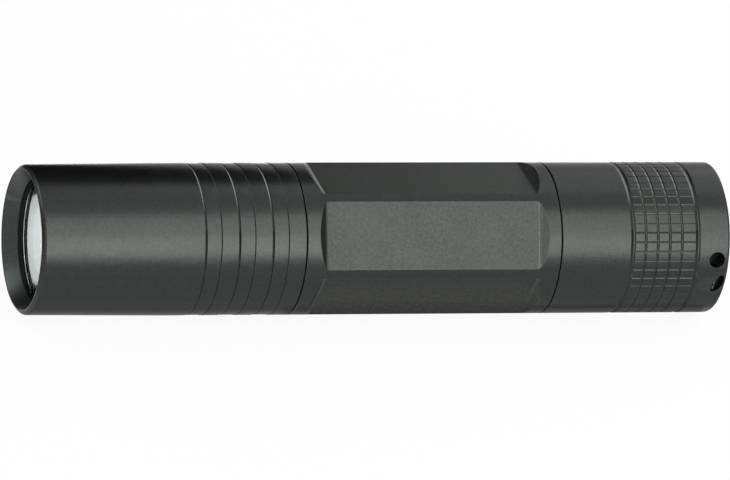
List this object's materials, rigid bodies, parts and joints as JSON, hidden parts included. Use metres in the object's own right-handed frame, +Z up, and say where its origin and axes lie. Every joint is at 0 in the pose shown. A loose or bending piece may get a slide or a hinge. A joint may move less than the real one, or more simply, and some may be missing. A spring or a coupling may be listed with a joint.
{
  "type": "led flashlight",
  "caption": "Straight aluminium tube flashlight with a dished head, a flat-sided battery tube, a knurled tail cap and a push button in the tail.",
  "frame": {"origin": "on the surface that the light lies on, under the middle of its length", "axes": "+X along the light from head to tail, +Z up, and the light's axis at z = 12.65 mm"},
  "size_m": [0.12, 0.0254, 0.0253],
  "materials": {
    "anodised": "bead-blasted black anodise",
    "window": "clear polished",
    "reflector_coat": "bright vacuum coating",
    "rubber": "matte",
    "white_plastic": "matte",
    "ceramic": "fine matte",
    "phosphor": "clear dome over yellow",
    "metal_core_board": "white solder mask",
    "brass": "turned",
    "red_lead": "silicone insulation",
    "black_lead": "silicone insulation",
    "circuit_board": "green solder mask",
    "moulded_black": "moulded",
    "plated_steel": "nickel plated",
    "cell_wrap": "shrink-wrapped cell"
  },
  "bodies": {
    "barrel": {"body_tube": "anodised", "head_o_ring": "rubber", "tail_o_ring": "rubber", "battery_cell": "cell_wrap", "battery_button": "plated_steel", "battery_insulator": "white_plastic"},
    "head_contact": {"driver_spring": "plated_steel"},
    "head": {"head_shell": "anodised", "lens": "window", "lens_o_ring": "rubber", "reflector": "reflector_coat", "centering_ring": "white_plastic", "led_package": "ceramic", "led_dome": "phosphor", "led_star_board": "metal_core_board", "led_pill": "brass", "led_lead_positive": "red_lead", "led_lead_negative": "black_lead", "driver_board": "circuit_board", "driver_inductor": "moulded_black", "driver_controller": "moulded_black", "driver_transistor": "moulded_black", "driver_retaining_ring": "brass"},
    "tail_contact": {"tail_spring": "plated_steel"},
    "tail_cap": {"tail_cap": "anodised", "switch_retaining_ring": "brass", "switch_board": "circuit_board", "switch_spacer": "white_plastic", "switch_housing": "moulded_black", "switch_cover": "moulded_black", "plunger_spring": "plated_steel"},
    "button": {"switch_boot": "rubber", "switch_plunger": "white_plastic"}
  },
  "joints": [
    {"name": "head_advance", "type": "slide", "parent": "barrel", "child": "head_contact", "axis": [-1, 0, 0], "range_m": [0, 0.006]},
    {"name": "head_turn", "type": "hinge", "parent": "head_contact", "child": "head", "pos_m": [-0.02, 0, 0.01265], "axis": [-1, 0, 0], "range_deg": [0, 2160]},
    {"name": "tail_cap_advance", "type": "slide", "parent": "barrel", "child": "tail_contact", "axis": [1, 0, 0], "range_m": [0, 0.006]},
    {"name": "tail_cap_turn", "type": "hinge", "parent": "tail_contact", "child": "tail_cap", "pos_m": [0.04, 0, 0.01265], "axis": [1, 0, 0], "range_deg": [0, 2160]},
    {"name": "button_press", "type": "slide", "parent": "tail_cap", "child": "button", "axis": [-1, 0, 0], "range_m": [0, 0.0015], "stiffness_N_per_m": 1200, "springref_m": -0.001, "deforming": ["switch_boot", "plunger_spring"]}
  ],
  "couplings": [
    {"joint": "head_advance", "follows": "head_turn", "m_per_rad": 0.00015915},
    {"joint": "tail_cap_advance", "follows": "tail_cap_turn", "m_per_rad": 0.00015915}
  ]
}
